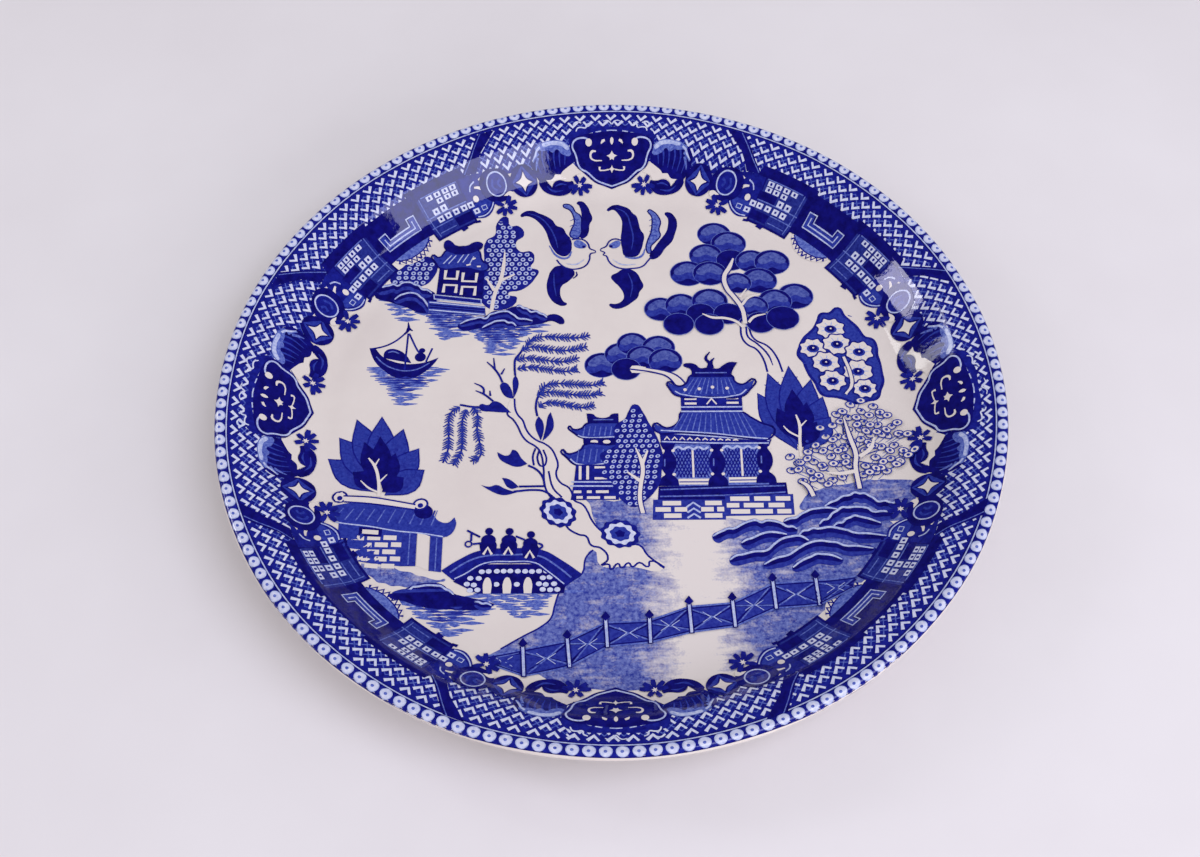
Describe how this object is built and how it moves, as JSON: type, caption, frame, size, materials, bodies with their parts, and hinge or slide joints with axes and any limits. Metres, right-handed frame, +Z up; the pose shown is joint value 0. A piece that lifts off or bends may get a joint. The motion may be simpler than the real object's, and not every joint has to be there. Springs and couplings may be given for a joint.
{
  "type": "dinner plate",
  "caption": "Round china dinner plate with a sloping brim, a steep cavetto and a turned foot ring, printed under the glaze with a blue landscape and geometric border.",
  "frame": {"origin": "centre of the foot ring's resting face, on the table", "axes": "+Z up along the plate's axis of turning; +Y towards the top of the printed landscape; +X to its right"},
  "size_m": [0.23, 0.23, 0.0217],
  "materials": {
    "clay": "fired white earthenware, under glaze",
    "bare_foot": "unglazed, wiped and ground smooth",
    "centre_blue": "cobalt transfer print under clear glaze",
    "border_blue": "cobalt transfer print under clear glaze",
    "glaze": "clear gloss glaze",
    "recess_glaze": "clear gloss glaze, slightly pooled"
  },
  "bodies": {
    "root": {"clay_body": "clay", "foot_ring": "bare_foot", "centre_print": "centre_blue", "border_print": "border_blue", "glaze_coat": "glaze", "recess_glaze": "recess_glaze"}
  },
  "joints": []
}
